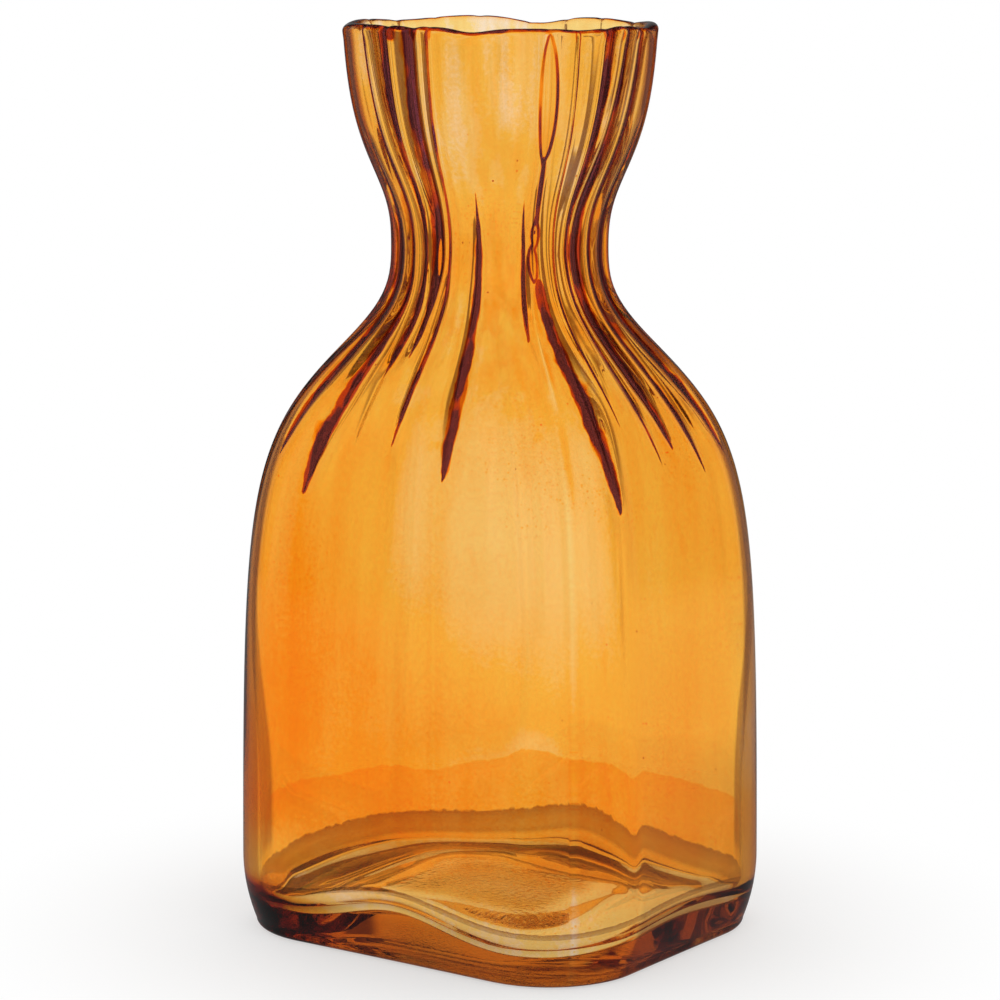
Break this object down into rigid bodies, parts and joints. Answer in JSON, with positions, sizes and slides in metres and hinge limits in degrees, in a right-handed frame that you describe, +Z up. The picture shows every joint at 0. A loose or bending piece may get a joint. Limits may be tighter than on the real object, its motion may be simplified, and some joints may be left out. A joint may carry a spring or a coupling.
{
  "type": "glass flower vase",
  "caption": "Amber glass flower vase shaped like a gathered sack: four-sided body with rounded corners, pleated shoulder and neck, wavy polished rim and a thick foot.",
  "frame": {"origin": "middle of the foot, on the surface that the vase stands on", "axes": "+Z up through the mouth, X along the wider pair of faces, Y along the narrower pair"},
  "size_m": [0.102, 0.087, 0.2],
  "materials": {
    "amber_glass": "clear amber glass, moulded and fire-polished"
  },
  "bodies": {
    "root": {"base": "amber_glass", "body": "amber_glass", "shoulder": "amber_glass", "neck": "amber_glass", "rim": "amber_glass"}
  },
  "joints": []
}
